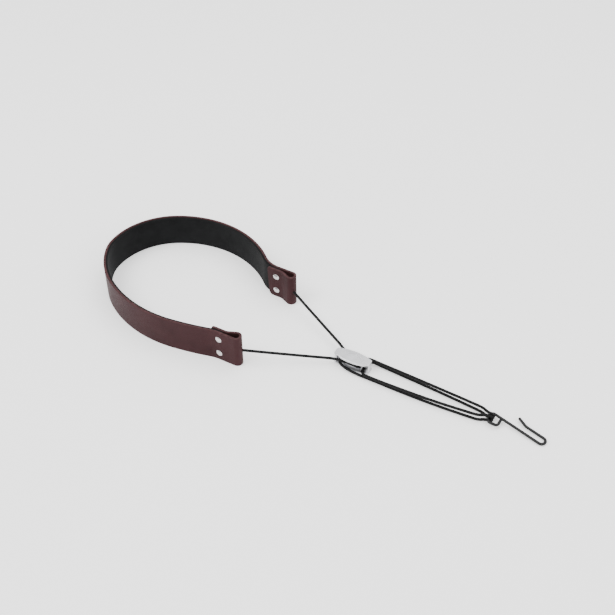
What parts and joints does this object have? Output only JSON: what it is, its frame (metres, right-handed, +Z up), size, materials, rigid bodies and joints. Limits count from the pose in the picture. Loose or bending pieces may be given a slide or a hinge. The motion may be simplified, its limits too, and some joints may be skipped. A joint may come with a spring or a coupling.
{
  "type": "saxophone neck strap",
  "caption": "Neck strap for a saxophone: a lined leather band with riveted loops, a round cord, a sliding metal adjuster and an open wire hook.",
  "frame": {"origin": "centre of the strap's box at the table, without the cord", "axes": "+X along the strap from the neck band to the hook, +Y to the side, +Z up from the table"},
  "size_m": [0.5283, 0.1708, 0.038],
  "materials": {
    "band_leather": "satin maroon-brown leather, lighter cut edges",
    "lining_suede": "matt near-black suede",
    "rivet_metal": "polished",
    "cord_braid": "round braided cord, slightly shiny",
    "adjuster_metal": "satin silver",
    "screw_metal": "plain",
    "hook_enamel": "black coating, half gloss"
  },
  "bodies": {
    "band": {"leather_band": "band_leather", "suede_lining": "lining_suede", "near_rivet_caps": "rivet_metal", "near_rivet_posts": "rivet_metal", "far_rivet_caps": "rivet_metal", "far_rivet_posts": "rivet_metal", "near_stopper_knot": "cord_braid", "far_stopper_knot": "cord_braid", "near_upper_cord": "cord_braid", "far_upper_cord": "cord_braid"},
    "adjuster": {"adjuster_top": "adjuster_metal", "adjuster_base": "adjuster_metal", "adjuster_core": "adjuster_metal", "adjuster_screws": "screw_metal", "near_pass_in_adjuster": "cord_braid", "middle_pass_in_adjuster": "cord_braid", "far_pass_in_adjuster": "cord_braid", "far_top_strand": "cord_braid", "far_bottom_strand": "cord_braid", "near_top_strand": "cord_braid", "near_bottom_strand": "cord_braid"},
    "eye_cords": {"far_bight": "cord_braid", "near_bight": "cord_braid"},
    "hook": {"hook_wire": "hook_enamel"}
  },
  "joints": [
    {"name": "adjuster_slide", "type": "slide", "parent": "band", "child": "adjuster", "axis": [1, 0, 0], "range_m": [-0.045, 0.14], "deforming": ["near_upper_cord", "far_upper_cord"]},
    {"name": "strand_takeup", "type": "slide", "parent": "adjuster", "child": "eye_cords", "axis": [1, 0, 0], "range_m": [-0.07, 0.0225], "deforming": ["far_top_strand", "far_bottom_strand", "near_top_strand", "near_bottom_strand"]},
    {"name": "hook_swing", "type": "hinge", "parent": "eye_cords", "child": "hook", "pos_m": [0.20455, -0.01254, 0.0048], "axis": [0, 1, 0], "range_deg": [-85, 85]}
  ],
  "couplings": [
    {"joint": "strand_takeup", "follows": "adjuster_slide", "ratio": -0.5}
  ]
}
